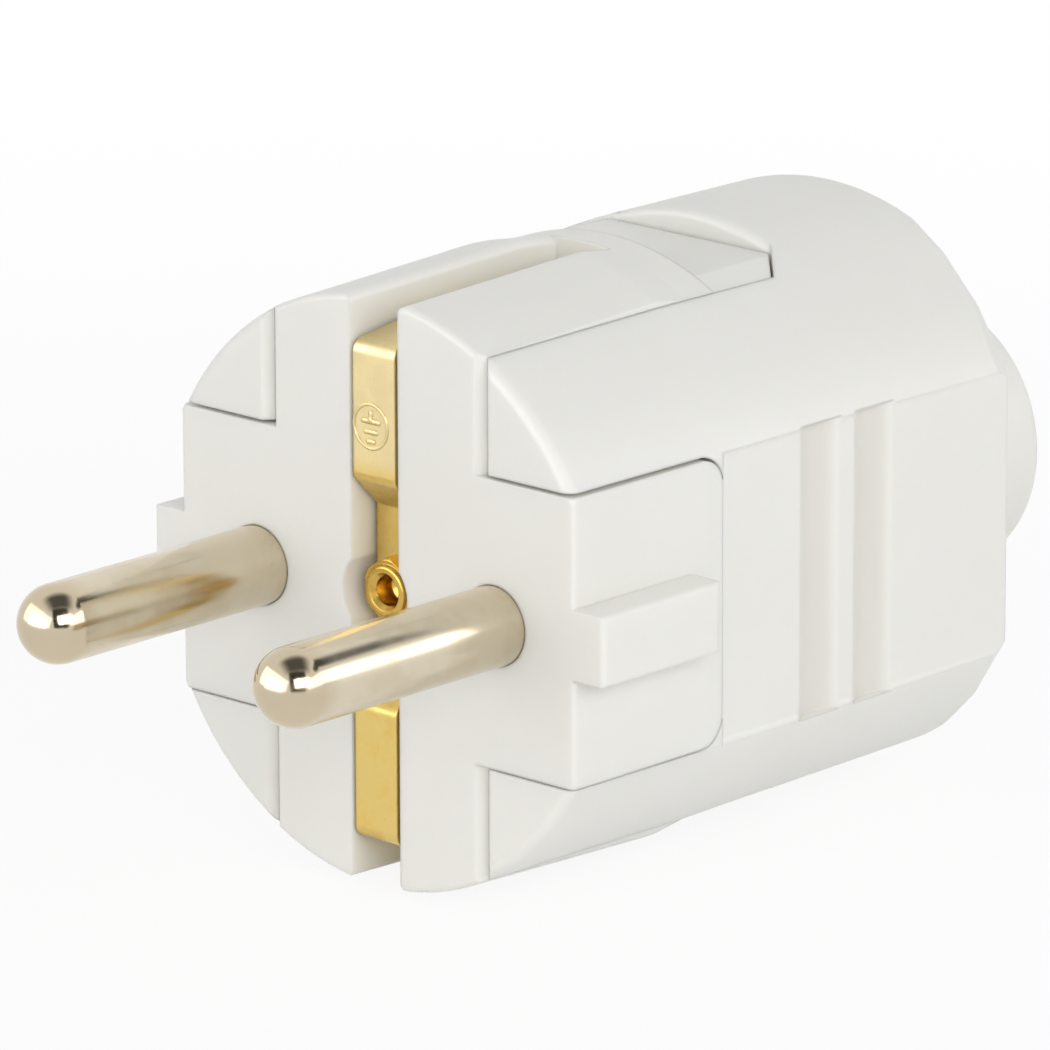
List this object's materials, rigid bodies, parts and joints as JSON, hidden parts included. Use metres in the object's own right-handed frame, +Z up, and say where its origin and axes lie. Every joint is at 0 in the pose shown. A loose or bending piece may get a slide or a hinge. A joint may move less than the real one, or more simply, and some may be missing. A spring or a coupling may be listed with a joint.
{
  "type": "type f plug",
  "caption": "Straight type F mains plug with round pins, earth contact strips along the body, sunk grip panels with scallops and a round cord entry at the back.",
  "frame": {"origin": "centre of the engagement face, midway between the pins", "axes": "+X from the left pin to the right pin as seen from the front, +Y back along the plug to the cord entry, +Z up through the earth contact; the pins point along -Y"},
  "size_m": [0.0362, 0.0694, 0.0364],
  "materials": {
    "white_plastic": "satin moulded thermoplastic",
    "nickel": "nickel-plated brass",
    "brass": "plain rolled brass",
    "screw_steel": "zinc-plated steel",
    "clamp_plastic": "moulded thermoplastic"
  },
  "bodies": {
    "root": {"base": "white_plastic", "rear_cover": "white_plastic", "pin_left": "nickel", "pin_right": "nickel", "pin_terminal_screws": "screw_steel", "earth_strap": "brass", "earth_rivet": "brass", "earth_terminal_plate": "brass", "earth_clamp_washer": "screw_steel", "earth_terminal_screw": "screw_steel", "cord_clamp_bar": "clamp_plastic", "cord_clamp_screws": "screw_steel", "cover_screw": "screw_steel"}
  },
  "joints": []
}
